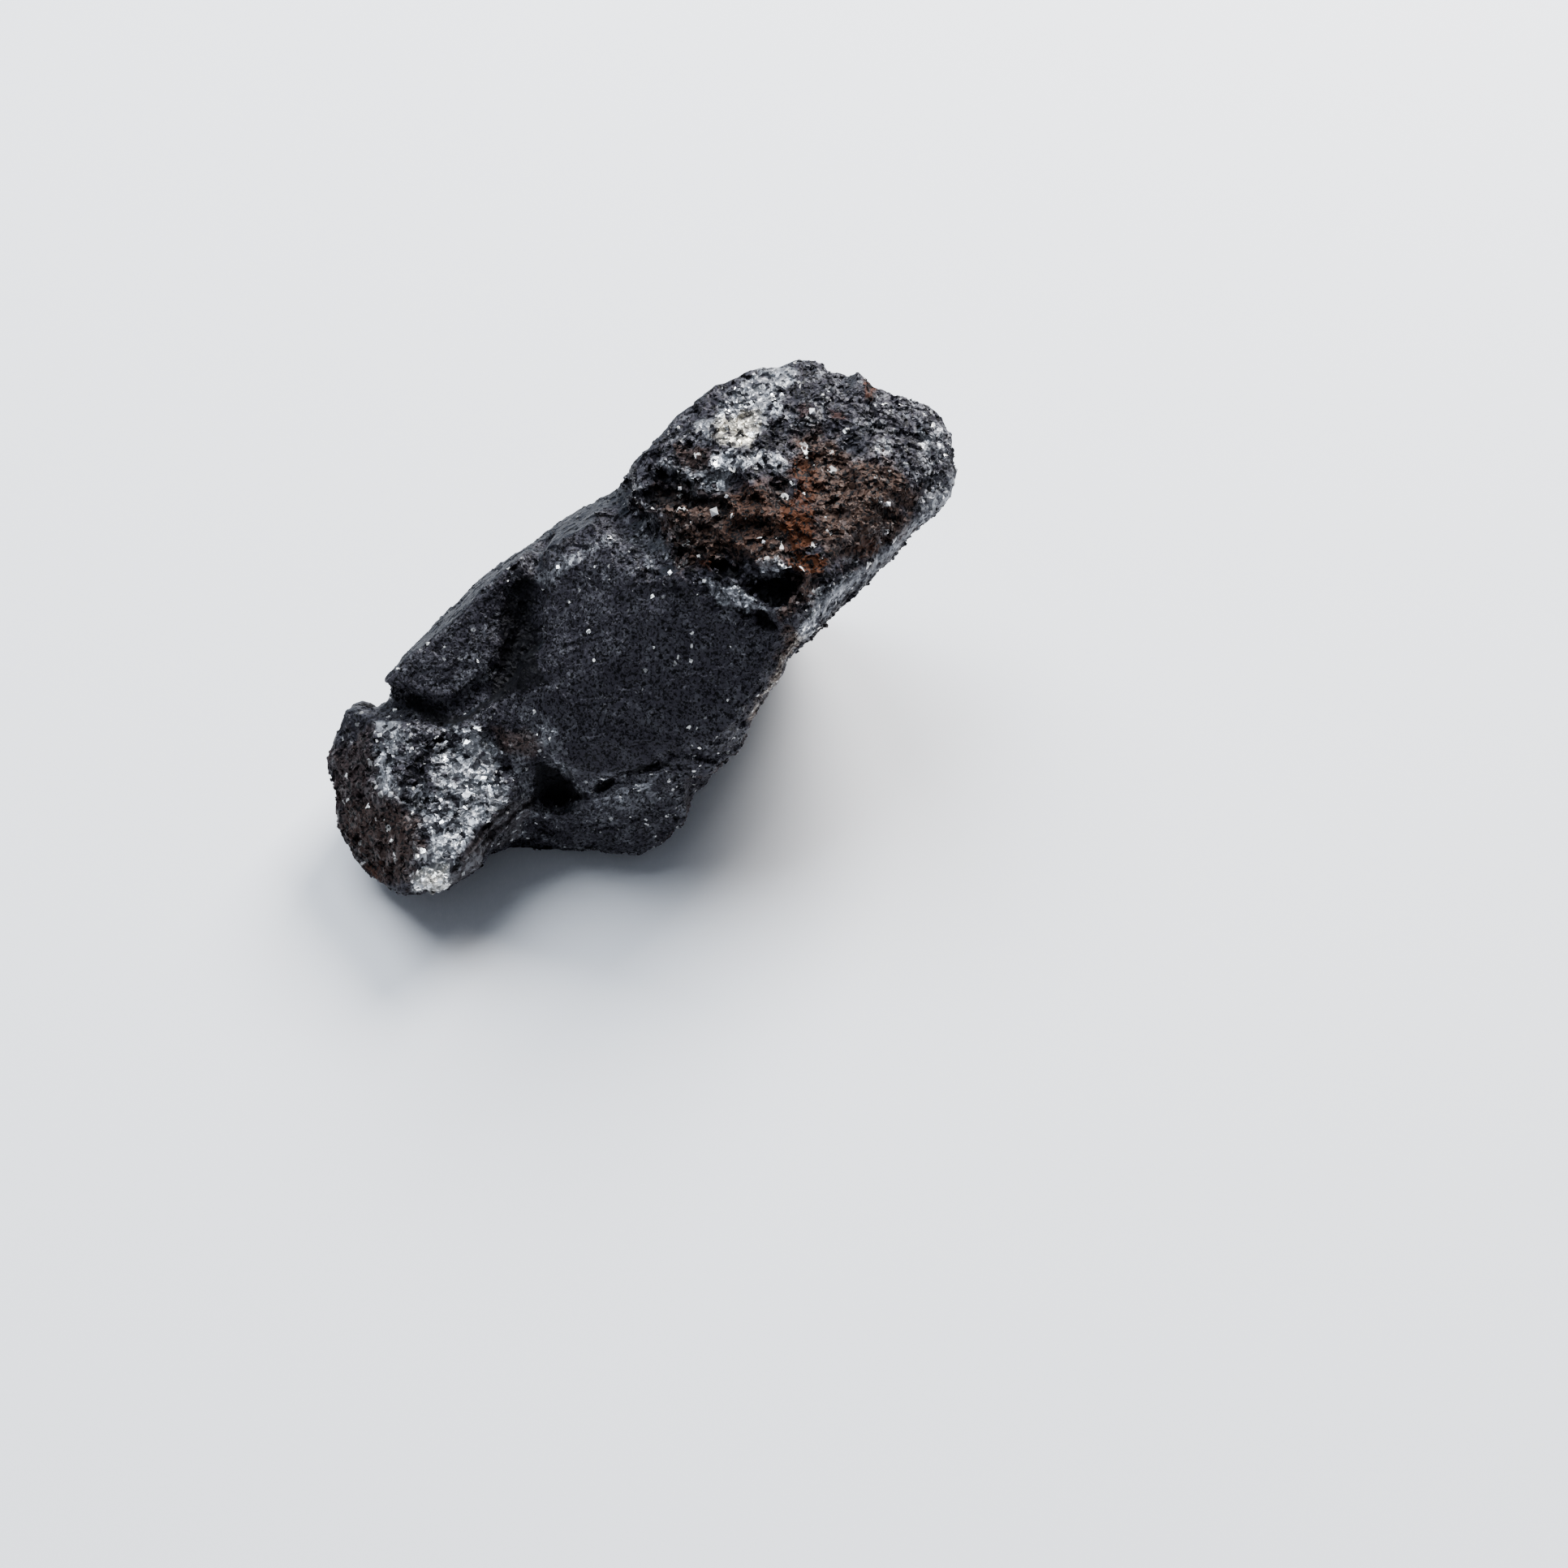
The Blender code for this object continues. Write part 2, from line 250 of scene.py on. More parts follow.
# What the photograph shows on the stone, zone by zone. A patch is its outline in pixels, the width of its
# soft edge in mm and its strength.
PATCHES = {
    # clean grains that glitter, partly a painted highlight where faces catch the light and on the shaded
    # bevel
    "bright": [
        ([(548, 905), (590, 897), (606, 922), (620, 955), (626, 985), (600, 1014), (575, 1040), (556, 1075),
          (548, 1103), (512, 1098), (505, 1085), (524, 1060), (528, 1030), (518, 1005), (532, 975),
          (530, 945)], 1, 0.92),
        ([(575, 925), (605, 930), (622, 975), (600, 1005), (570, 985)], 1, 1.15),
        ([(514, 1068), (545, 1062), (556, 1090), (546, 1106), (508, 1098)], 0.5, 1.9),
        ([(462, 888), (488, 886), (497, 905), (484, 935), (482, 962), (494, 980), (480, 984), (461, 966)],
          0.7, 0.95),
        ([(488, 885), (545, 892), (505, 945), (484, 935)], 1, 0.3),
        ([(484, 975), (530, 960), (530, 1060), (508, 1092), (500, 1060), (512, 1020)], 1.4, 0.4),
        ([(625, 905), (655, 930), (660, 984), (632, 988)], 1.2, 0.35),
        ([(884, 500), (912, 472), (932, 455), (965, 448), (992, 452), (968, 470), (962, 500), (946, 520),
          (930, 542), (905, 547), (884, 546), (878, 520)], 0.8, 0.9),
        ([(853, 512), (880, 512), (880, 538), (858, 532)], 0.7, 0.7),
        ([(878, 556), (905, 552), (945, 553), (972, 566), (966, 582), (930, 578), (900, 575), (897, 600),
          (880, 606), (868, 590)], 0.6, 0.75),
        ([(812, 562), (850, 575), (880, 590), (897, 606), (870, 603), (838, 590), (808, 574)], 0.5, 0.6),
        ([(960, 446), (1060, 452), (1075, 500), (1040, 512), (1000, 530), (965, 520)], 1.5, 0.1),
        ([(1062, 500), (1085, 478), (1130, 492), (1158, 512), (1168, 560), (1150, 600), (1120, 575),
          (1085, 545)], 2, 0.17),
        ([(1135, 535), (1162, 530), (1168, 568), (1145, 572)], 0.8, 0.75),
        ([(1082, 535), (1100, 538), (1098, 555), (1082, 553)], 0.5, 0.8),
        ([(935, 688), (960, 682), (974, 700), (966, 716), (934, 713)], 0.5, 0.8),
        ([(862, 711), (905, 721), (930, 736), (942, 753), (914, 752), (882, 738)], 0.5, 1.2),
        ([(1000, 742), (1020, 724), (1060, 704), (1110, 660), (1150, 615), (1178, 590), (1174, 612),
          (1124, 668), (1062, 722), (1022, 764), (995, 795), (985, 775)], 0.8, 0.75),
        ([(985, 778), (996, 798), (970, 840), (940, 895), (925, 890), (955, 830)], 0.6, 0.5),
        ([(765, 640), (800, 632), (828, 690), (800, 706), (768, 682)], 1.5, 0.12),
        ([(640, 878), (676, 888), (700, 935), (722, 985), (700, 968), (662, 928)], 1.2, 0.42),
        ([(540, 800), (600, 800), (610, 840), (560, 850)], 1.5, 0.15),
        ([(782, 622), (815, 622), (842, 645), (832, 690), (800, 702), (780, 670)], 1, 0.25),
        ([(1040, 650), (1090, 630), (1120, 640), (1080, 690), (1030, 690)], 1, 0.3),
        ([(690, 712), (740, 704), (780, 712), (740, 724)], 0.8, 0.1),
        ([(690, 970), (800, 958), (830, 985), (760, 1010), (700, 1000)], 1.5, 0.3),
        ([(655, 712), (757, 648), (762, 660), (668, 720)], 0.5, 0.5),
        ([(1160, 585), (1185, 575), (1176, 605), (1130, 655), (1112, 650)], 1, 0.35),
        (BEVEL, 0.5, 0.5),
    ],
    # orange and red rust
    "rust": [
        ([(985, 545), (1006, 560), (1008, 640), (1002, 672), (972, 672), (962, 630), (976, 600)], 1.4, 0.7),
        ([(962, 620), (1002, 630), (1000, 680), (966, 676)], 1, 0.95),
        ([(968, 686), (990, 676), (1024, 684), (1014, 706), (975, 704)], 0.6, 1),
        ([(900, 590), (950, 580), (960, 640), (930, 680), (890, 676)], 1.6, 0.34),
        ([(1066, 455), (1082, 470), (1080, 494), (1064, 494)], 0.5, 0.6),
        ([(980, 494), (1000, 494), (1004, 510), (984, 512)], 0.5, 0.4),
        ([(1020, 500), (1040, 505), (1044, 516), (1022, 514)], 0.5, 0.5),
        ([(436, 1066), (462, 1068), (462, 1088), (440, 1082)], 0.7, 0.55),
        ([(1060, 664), (1090, 660), (1090, 684), (1060, 684)], 0.8, 0.45),
        ([(860, 686), (878, 688), (876, 700), (860, 697)], 0.4, 0.7),
    ],
    # dull brown weathering
    "brown": [
        ([(975, 545), (1010, 530), (1044, 560), (1100, 565), (1130, 600), (1112, 660), (1080, 690),
          (1015, 690), (1000, 640), (990, 600)], 2, 0.85),
        ([(806, 596), (870, 608), (900, 600), (975, 590), (985, 680), (930, 690), (880, 684), (835, 700),
          (812, 640)], 1.5, 0.8),
        ([(404, 1000), (430, 985), (486, 990), (515, 1004), (522, 1042), (500, 1092), (450, 1087),
          (424, 1050)], 1.5, 0.55),
        ([(404, 930), (452, 900), (458, 965), (486, 986), (430, 1000), (404, 1000)], 1.5, 0.35),
        ([(830, 548), (875, 548), (870, 580), (835, 575)], 0.8, 0.5),
        ([(985, 700), (1020, 706), (1000, 745), (960, 760), (970, 720)], 0.8, 0.6),
        (LOWER_EDGE, 1, 0.8),
        ([(604, 898), (660, 905), (660, 935), (622, 930)], 1, 0.5),
        (BEVEL, 0.5, 0.45),
    ],
    # grains with a warm white tint
    "warm": [
        ([(882, 515), (930, 508), (930, 546), (884, 550)], 1, 1),
        ([(990, 497), (1010, 497), (1010, 517), (990, 517)], 0.5, 0.8),
        ([(514, 1072), (545, 1066), (553, 1090), (546, 1103), (512, 1097)], 1, 0.5),
        (LOWER_EDGE, 1, 0.8),
    ],
    # worn or parted faces with hardly any grain
    "smooth": [
        ([(1040, 524), (1078, 524), (1072, 562), (1044, 562)], 0.7, 0.5),
        (BEVEL, 0.5, 0.8),
        ([(1000, 742), (1060, 704), (1110, 660), (1150, 615), (1182, 590), (1124, 672), (1022, 770)], 0.8,
          0.5),
        ([(420, 870), (460, 856), (520, 868), (500, 888), (455, 892), (420, 900)], 1, 0.5),
        ([(662, 940), (728, 984), (660, 984)], 0.4, 0.9),
    ],
    # recesses painted black: painted shade and dirt
    "dark": [
        (UPPER_SLOT, 0.4, 0.75),
        (LOWER_SLOT, 0.3, 1.1),
        (CAVE, 0.3, 0.8),
        (NOTCH, 0.3, 1),
        (LEFT_SLOT, 0.3, 0.7),
        ([(893, 640), (905, 643), (925, 655), (935, 665), (915, 668), (900, 660)], 0.4, 0.5),
        ([(950, 590), (985, 592), (984, 616), (952, 612)], 0.6, 0.6),
        ([(925, 536), (962, 520), (968, 548), (978, 562), (940, 550)], 0.5, 0.6),
        ([(1105, 530), (1140, 532), (1138, 568), (1110, 566)], 1, 0.5),
        ([(622, 740), (652, 700), (660, 770), (672, 840), (640, 850), (612, 860)], 1.2, 0.9),
        ([(662, 938), (728, 984), (660, 986)], 0.4, 1.1),
        (NOSE_PIT, 0.3, 0.7),
        ([(968, 470), (992, 462), (1000, 490), (970, 500)], 0.5, 0.5),
    ],
    # recesses that are cut in below the face around them
    "dug": [
        (UPPER_SLOT, 0.35, 1),
        (LOWER_SLOT, 0.3, 1),
        (CAVE, 0.3, 0.8),
        (NOTCH, 0.3, 0.8),
        (LEFT_SLOT, 0.3, 0.6),
        ([(952, 592), (982, 592), (982, 614), (954, 612)], 0.6, 0.5),
        (NOSE_PIT, 0.3, 0.4),
    ],
    # lumps that stand out of the face around them
    "raised": [
        ([(932, 692), (945, 684), (960, 686), (968, 702), (962, 714), (945, 718), (930, 710)], 0.5, 1),
        ([(803, 566), (830, 570), (855, 584), (876, 596), (896, 600), (894, 608), (868, 601), (848, 590),
          (830, 579), (803, 577)], 0.4, 0.6),
        ([(860, 710), (882, 716), (905, 730), (925, 736), (940, 748), (932, 756), (905, 744), (880, 728)],
          0.4, 0.7),
        ([(815, 630), (838, 640), (860, 654), (884, 668), (880, 676), (855, 664), (830, 650)], 0.4, 0.5),
    ],
    # where the fine ore is as even as on the broad face
    "broad": [
        ([(640, 690), (700, 645), (760, 615), (800, 640), (800, 700), (760, 720), (680, 720)], 1.5, 0.9),
    ],
    # where the grains are coarse
    "coarse": [
        ([(780, 540), (860, 480), (950, 436), (1060, 446), (1160, 500), (1190, 590), (1120, 680),
          (1000, 760), (900, 740), (800, 700), (770, 640)], 3, 1),
        ([(455, 880), (600, 890), (640, 985), (560, 1110), (430, 1100), (400, 1000), (400, 920)], 2, 0.9),
    ],
}
# A stroke is its line in pixels, its radius in mm and its strength.
STROKES = {
    # clean grains and streaks painted bright, partly as a painted highlight
    "bright": [
        ([(745, 590), (800, 530), (880, 470), (940, 446)], 1.4, 0.1),
        ([(480, 978), (488, 975)], 0.7, 1),
        ([(575, 1025), (578, 1028)], 0.5, 1),
        ([(640, 1035), (662, 1008), (690, 986)], 0.6, 0.4),
        ([(566, 1090), (604, 1056), (640, 1018)], 0.35, 0.9),
        ([(580, 1094), (618, 1062), (648, 1030)], 0.3, 0.8),
        ([(797, 690), (806, 700)], 0.6, 0.8),
        ([(1092, 620), (1104, 622)], 0.7, 0.7),
        ([(1045, 690), (1058, 692)], 0.6, 0.8),
    ],
    "smooth": [
        ([(510, 795), (600, 710), (700, 645), (760, 612)], 1.5, 1),
        ([(745, 590), (800, 530), (880, 470)], 1.6, 0.8),
    ],
    # cracks and creases painted black: painted shade and dirt
    "dark": [
        ([(446, 866), (470, 850), (505, 862), (526, 876), (546, 889), (580, 880), (600, 862), (616, 838)],
          0.9, 1),
        (LUMP_CREASE, 0.6, 0.9),
        (NOSE_CRACK, 0.35, 0.7),
        (NOSE_SPLIT, 0.3, 0.6),
        (CREST_CRACK, 0.4, 0.9),
        (BEVEL_CRACK, 0.35, 0.7),
        (BEVEL_GROOVE, 0.4, 0.6),
        ([(660, 935), (662, 985)], 0.4, 0.8),
        (KNOB_CRACK, 0.5, 0.5),
        (SADDLE_CRACK, 0.6, 0.5),
        (RIGHT_CRACK, 0.6, 0.6),
        ([(612, 905), (620, 930), (628, 945)], 0.5, 0.6),
        ([(1020, 590), (1060, 600)], 0.5, 0.4),
        ([(608, 790), (612, 850)], 1, 0.5),
        (EDGE_CRACK, 0.5, 0.7),
    ],
    "dug": [
        (NOSE_CRACK, 0.35, 0.4),
        (NOSE_SPLIT, 0.3, 0.4),
        (CREST_CRACK, 0.3, 0.4),
        (BEVEL_CRACK, 0.35, 0.4),
        (BEVEL_GROOVE, 0.4, 0.5),
        (KNOB_CRACK, 0.5, 0.4),
        (SADDLE_CRACK, 0.6, 0.5),
        (RIGHT_CRACK, 0.6, 0.5),
        (EDGE_CRACK, 0.5, 0.6),
        ([(840, 560), (870, 575)], 0.6, 0.5),
        (LUMP_CREASE, 0.5, 0.5),
    ],
}
DUG_DEPTH = 0.8  # millimetres
RAISED_HEIGHT = 0.4  # millimetres
zones = {}
for zone in PATCHES:
    drawn = [patch(corners, edge) * strength for corners, edge, strength in PATCHES[zone]]
    drawn += [stroke(pixels, radius) * strength for pixels, radius, strength in STROKES.get(zone, [])]
    zones[zone] = np.max(drawn, axis=0)


def blotches(size, shift):
    """Soft blotches of this size in mm over the skin, from about -1 to 1. Each shift gives others."""
    return np.array([noise.noise(Vector(place) / size + Vector((shift, 0, 0))) for place in places])


# The sides that the photograph doesn't show have the same ore, with bright, brown and rusty patches by chance
unseen = ramp(0.25 - faces_camera, 0, 0.3)
clean_blotches = blotches(8, 0)
zones["bright"] = np.maximum(zones["bright"], unseen * np.clip(clean_blotches * 1.2 - 0.1, 0, 0.35))
zones["brown"] = np.maximum(zones["brown"], unseen * np.clip(blotches(6, 20) * 1.2 + 0.05, 0, 0.5))
zones["rust"] = np.maximum(zones["rust"], unseen * np.clip(blotches(7, 40) * 1.6 - 0.6, 0, 0.3))
zones["sooty"] = unseen * np.clip(0.75 - clean_blotches, 0, 1)
zones["coarse"] = np.maximum(zones["coarse"], unseen * np.clip(blotches(10, 60) * 3 + 0.3, 0, 1))

# The parted faces and the base are smooth, and the broad face is of fine, even ore
parted = ramp(normals @ np.array(FLANK), 0.8, 0.92)
base = ramp(-normals[:, 2], 0.8, 0.9) * (places[:, 2] < 1)
zones["smooth"] = np.maximum.reduce([zones["smooth"], parted, base])
# How deep each point lies in a hollow; the finish is darkened there, as painted shade and dirt
zones["hollow"] = np.clip(hollow * 1.3, 0, 1)
broad = ramp(normals @ np.array(BROAD_FACE), 0.78, 0.9) * (1 - np.clip(zones["coarse"] * 2, 0, 1))

# The chips are lower on sharp edges and smooth faces and missing on the base, which has to lie flat
sharp_edge = np.clip(-2 * hollow, 0, 0.85)
rough = (1 - sharp_edge) * (1 - 0.5 * zones["smooth"]) * (1 - 0.6 * broad)
rough = rough * (0.8 + 0.3 * zones["coarse"]) * (1 - base)
step = zones.pop("raised") * RAISED_HEIGHT - zones.pop("dug") * DUG_DEPTH
move_to(skin.data, (places + normals * (step * (1 - base))[:, None]) * MM)
zones["broad"] = np.maximum(zones["broad"], broad)


def keep_zones(mesh, weights):
    """Stores how strongly each zone shows at each point, for the materials and the grains to read."""
    for name, weight in weights.items():
        layer = mesh.attributes.new(name, "FLOAT", "POINT")
        layer.data.foreach_set("value", weight.astype(np.float32))


bare = (1 - zones["smooth"] * 0.93) * (1 - base) * (1 - 0.75 * np.clip(zones["dark"], 0, 1))
keep_zones(skin.data, zones)
keep_zones(skin.data, {
    "rough": rough,
    "coarse_grains": bare * (1 - sharp_edge) * np.clip(zones["coarse"] * 1.4 - 0.2, 0, 1),
    "medium_grains": bare * (0.1 + 0.9 * np.clip(1 - broad * 1.2, 0, 1)),
    "fine_grains": bare * np.clip(1.1 - zones["coarse"] * 1.5, 0, 1) * (1 - unseen * 0.5),
})


class Shade:
    """A number on its way through a node tree, so that node maths reads as plain arithmetic."""

    def __init__(self, tree, socket):
        self.tree = tree
        self.socket = socket

    def maths(self, operation, first, second):
        return self.tree.node("ShaderNodeMath", {"operation": operation}, {0: first, 1: second})

    def __add__(self, other):
        return self.maths("ADD", self, other)

    def __mul__(self, other):
        return self.maths("MULTIPLY", self, other)

    def __sub__(self, other):
        return self.maths("SUBTRACT", self, other)

    def __rsub__(self, other):
        return self.maths("SUBTRACT", other, self)

    def __pow__(self, other):
        return self.maths("POWER", self, other)

    __radd__ = __add__
    __rmul__ = __mul__

    def lower(self, other):
        return self.maths("MINIMUM", self, other)

    def between(self, low, high):
        """0 up to low, 1 from high on, and a smooth rise between them."""
        values = {"Value": self, "From Min": low, "From Max": high}
        return self.tree.node("ShaderNodeMapRange", {"interpolation_type": "SMOOTHSTEP"}, values)

    def other(self, output):
        """Another output of the node that this one comes from."""
        return Shade(self.tree, self.socket.node.outputs[output])


class Tree:
    """A tree of nodes in the making, for a material or for Geometry Nodes."""

    def __init__(self, tree):
        self.tree = tree
        self.tree.nodes.clear()

    def node(self, kind, settings=None, values=None, output=0):
        """Adds a node with these settings, fills its sockets, and returns one of its outputs."""
        made = self.tree.nodes.new(kind)
        for name, setting in (settings or {}).items():
            setattr(made, name, setting)
        for name, value in (values or {}).items():
            if isinstance(value, Shade):
                self.tree.links.new(value.socket, made.inputs[name])
            else:
                made.inputs[name].default_value = value
        return Shade(self, made.outputs[output]) if made.outputs else made

    def vector(self, operation, first, second, output=0):
        sockets = {0: first, ("Scale" if operation == "SCALE" else 1): second}
        return self.node("ShaderNodeVectorMath", {"operation": operation}, sockets, output)

    def zone(self, name):
        return self.node("ShaderNodeAttribute", {"attribute_name": name}, output="Fac")

    def texture(self, kind, where, size, values=None, output="Fac"):
        """A texture whose features are of this size in mm."""
        return self.node(kind, {}, {"Vector": where, "Scale": 1 / (size * MM), **(values or {})}, output)

    def mix(self, share, first, second):
        """The first colour, turning into the second as the share goes from 0 to 1."""
        return self.node("ShaderNodeMix", {"data_type": "RGBA"}, {0: share, 6: first, 7: second}, output=2)

    def inputs(self, kinds):
        """Gives a Geometry Nodes tree its named inputs, and returns them with their sockets' identifiers."""
        names = {}
        for name, kind in kinds.items():
            socket = self.tree.interface.new_socket(name, in_out="INPUT", socket_type="NodeSocket" + kind)
            names[name] = socket.identifier
        first = self.node("NodeGroupInput")
        return {name: first.other(name) for name in kinds}, names

    def result(self, geometry):
        self.tree.interface.new_socket("Result", in_out="OUTPUT", socket_type="NodeSocketGeometry")
        self.node("NodeGroupOutput", {}, {0: geometry})


# The chips that the ore broke off in: the size of each kind and its height, in mm
CHIPS = [(3.4, 0.32), (1.6, 0.22), (0.8, 0.12)]
CHIP_SLOPE = 1.7
CHIP_STEP = 0.8
CHIP_GAIN = 1.6


def chip_tree():
    """Geometry Nodes that break a surface into flat chips, each tilted its own way, that meet in creases."""
    tree = Tree(bpy.data.node_groups.new("chips", "GeometryNodeTree"))
    given, names = tree.inputs({"Surface": "Geometry", "Chip size": "Float", "Chip height": "Float"})
    where = tree.node("GeometryNodeInputPosition")
    planes = []
    for nearest in ("F1", "F2"):
        values = {"Vector": where, "Scale": given["Chip size"] ** -1.0}
        cell = tree.node("ShaderNodeTexVoronoi", {"feature": nearest}, values, "Color")
        tilt = tree.vector("SUBTRACT", cell, (0.5, 0.5, 0.5))
        from_middle = tree.vector("SUBTRACT", where, cell.other("Position"))
        rise = tree.vector("DOT_PRODUCT", from_middle, tilt, "Value") * CHIP_SLOPE
        own = tree.node("ShaderNodeSeparateXYZ", {}, {0: tilt}, "Z") * given["Chip size"] * CHIP_STEP
        planes.append(rise + own)
    rough = tree.node("GeometryNodeInputNamedAttribute", {"data_type": "FLOAT"}, {"Name": "rough"})
    height = planes[0].lower(planes[1]) * rough * given["Chip height"]
    offset = tree.vector("SCALE", tree.node("GeometryNodeInputNormal"), height)
    tree.result(tree.node("GeometryNodeSetPosition", {}, {"Geometry": given["Surface"], "Offset": offset}))
    return tree.tree, names


CHIP_RECIPE, CHIP_INPUTS = chip_tree()
for chip_size, chip_height in CHIPS:
    modifier = skin.modifiers.new("chips", "NODES")
    modifier.node_group = CHIP_RECIPE
    modifier[CHIP_INPUTS["Chip size"]] = chip_size * MM
    modifier[CHIP_INPUTS["Chip height"]] = chip_height / chip_size * CHIP_GAIN
thin = skin.modifiers.new("fewer triangles", "DECIMATE")
thin.ratio = SKIN_TRIANGLES / triangles_of(skin.data)
settle(skin)
move_to(skin.data, places_of(skin.data) - normals_of(skin.data) * SKIN_SINK * MM)
print("the skin has", triangles_of(skin.data), "triangles")

# The colours of the ore: black for dirt, soot and painted shade in pits, recesses and hollows, dull
# blue-black grains, slate on the parted faces, clean grains of grey steel with painted white glints, the same
# with a warm tint, brown weathering and rust
BLACK = (0.003, 0.003, 0.004, 1)
DULL = (0.028, 0.0265, 0.035, 1)
SLATE = (0.013, 0.015, 0.021, 1)
STEEL = (0.36, 0.375, 0.405, 1)
PAINTED_GLINT_WHITE = (0.94, 0.94, 0.93, 1)
WARM = (0.7, 0.66, 0.57, 1)
BROWN = (0.05, 0.028, 0.02, 1)
RUST = (0.062, 0.02, 0.008, 1)
# The size in mm of the grains and specks that are only in the finish, in fine ore and in coarse ore, and of
# the clusters and the mottling in which they shine alike
CELLS = (0.34, 0.6)
SPECKS = (0.3, 0.45)
CLUSTERS = 2.2
MOTTLING = 0.8
SPECK_DEPTH = 0.1
# The shine of plain ore, from 0 for dust to 1 for clean steel, and how much of it each zone takes away
PLAIN_SHINE = 0.14
SHINE_LOST = {
    "broad": 0.05, "shade_and_dirt": 0.35, "brown": 0.08, "rust": 0.25, "smooth": 0.1, "coarse": 0.07, "sooty": 0.12,
}


def ore(name, grain=None):
    """The ore's finish, dull or clean from one grain to the next. grain names each grain's own chance."""
    material = bpy.data.materials.new(name)
    material.use_nodes = True
    tree = Tree(material.node_tree)
    where = tree.node("ShaderNodeTexCoord", output="Object")
    bright, brown, rust, smooth, broad, sooty, warm = [
        tree.zone(zone) for zone in ("bright", "brown", "rust", "smooth", "broad", "sooty", "warm")
    ]
    coarse = tree.zone("coarse").between(0.3, 0.7)
    # Painted shade and dirt in the dark recesses, cracks and hollows
    shade_and_dirt = (tree.zone("dark") + tree.zone("hollow") * 0.6).between(0.1, 1)

    # Each grain's chance, the clusters and the mottling around it, and the specks on it
    fine_cells, coarse_cells = [
        tree.texture("ShaderNodeTexVoronoi", where, size, output="Color") for size in CELLS
    ]
    cells = tree.mix(coarse, fine_cells, coarse_cells)
    cell = tree.node("ShaderNodeSeparateColor", {}, {"Color": cells}, "Green")
    own = tree.zone(grain) if grain else tree.node("ShaderNodeSeparateColor", {}, {"Color": cells}, "Blue")
    chance = own * 0.6 + cell * 0.4
    cluster = tree.texture("ShaderNodeTexNoise", where, CLUSTERS, {"Detail": 3})
    mottle = tree.texture("ShaderNodeTexNoise", where, MOTTLING, {"Detail": 3})
    fine_specks, coarse_specks = [
        tree.texture("ShaderNodeTexNoise", where, size, {"Distortion": 0.8}) for size in SPECKS
    ]
    speck = fine_specks + (coarse_specks - fine_specks) * coarse

    # How clean each grain is: it swings from one to the next, most in the bright zones
    uneven = (chance - 0.5) * 0.34 + (cluster - 0.5) * 0.9 + (mottle - 0.5) * 0.5
    # The bright zones are partly a painted highlight
    sparkle = bright * (0.62 + (chance - 0.5) * 0.9 + (mottle - 0.5) * 0.6)
    shine = PLAIN_SHINE + sparkle + uneven * (1 - broad * 0.45) * (1 - smooth * 0.7)
    covers = {
        "broad": broad, "shade_and_dirt": shade_and_dirt, "brown": brown, "rust": rust, "smooth": smooth, "coarse": coarse,
        "sooty": sooty,
    }
    for cover, loss in SHINE_LOST.items():
        shine = shine - covers[cover] * loss
    clean = shine.between(0, 1.2)

    # The black pits between the grains, and the few faces that glint
    # Where the specks' bump sinks between the grains, the colour is painted black: painted shade in the pits
    grit = (speck + clean * 0.1 + smooth * 0.04).between(0.42, 0.52)
    pit = (1 - grit) * (0.95 - bright * 0.4 - clean * 0.2)
    # The white on the faces that glint is a painted highlight
    painted_glint = (chance + bright * 0.1 - broad * 0.03).between(0.91, 0.96) * (1 - shade_and_dirt) * (1 - smooth * 0.9)

    dull = tree.mix(smooth, tree.mix(brown, DULL, BROWN), SLATE)
    colour = tree.mix(clean, dull, tree.mix(warm, STEEL, WARM))
    colour = tree.mix(brown * 0.5, colour, BROWN)
    colour = tree.mix((rust * (mottle * 0.8 + 0.6)).between(0.05, 0.9) * (1 - clean * 0.7), colour, RUST)
    # Black for painted shade in the pits, recesses and hollows, and for dirt and soot
    colour = tree.mix((pit + shade_and_dirt * 0.75 + sooty * 0.3).between(0, 1), colour, BLACK)
    colour = tree.mix(painted_glint * 0.9, colour, PAINTED_GLINT_WHITE)

    # Each grain faces its own way, and the specks stand out a little
    lean = 0.5 + bright * 0.2 - smooth * 0.4 - broad * 0.1
    tilt = tree.vector("SCALE", tree.vector("SUBTRACT", cells, (0.5, 0.5, 0.5)), lean)
    leaning = tree.vector("ADD", tree.node("ShaderNodeNewGeometry", output="Normal"), tilt)
    facing = tree.node("ShaderNodeVectorMath", {"operation": "NORMALIZE"}, {0: leaning})
    specks = {"Strength": 0.6, "Distance": SPECK_DEPTH * MM, "Height": speck, "Normal": facing}
    facing = tree.node("ShaderNodeBump", {}, specks)
    shader = tree.node("ShaderNodeBsdfPrincipled", {}, {
        "Base Color": colour,
        "Metallic": 0.35 + clean * 0.6 - rust * 0.2 - brown * 0.1 - smooth * 0.2,
        "Roughness": 0.5 - clean * 0.15 + rust * 0.15 - painted_glint * 0.2 + smooth * 0.1,
        "Specular IOR Level": 0.1,
        "Normal": facing,
    })
    tree.node("ShaderNodeOutputMaterial", {}, {"Surface": shader})
    return material


skin.data.materials.append(ore("ore_between_the_grains"))
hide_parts("magnetite_block")
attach(skin, "root")


# The grains are crystals of magnetite, mostly small octahedra, grown together and broken through the middle.
# They cover the skin, sunk in it at every angle, so that each catches the light on faces of its own.
GRAIN_SINK = 0.34  # how deep a grain's middle lies under the skin, as a share of its size
BROKEN_GRAINS = ((5, 0.3), (4, 0.36), (6, 0.26), (4, 0.2))  # the sides of each kind and the radius of its top
BROKEN_BASE = 0.52
BROKEN_HEIGHT = 0.5
LEAST_STRETCH = (0.6, 0.6, 0.5)
MOST_STRETCH = (1.25, 1.25, 1)


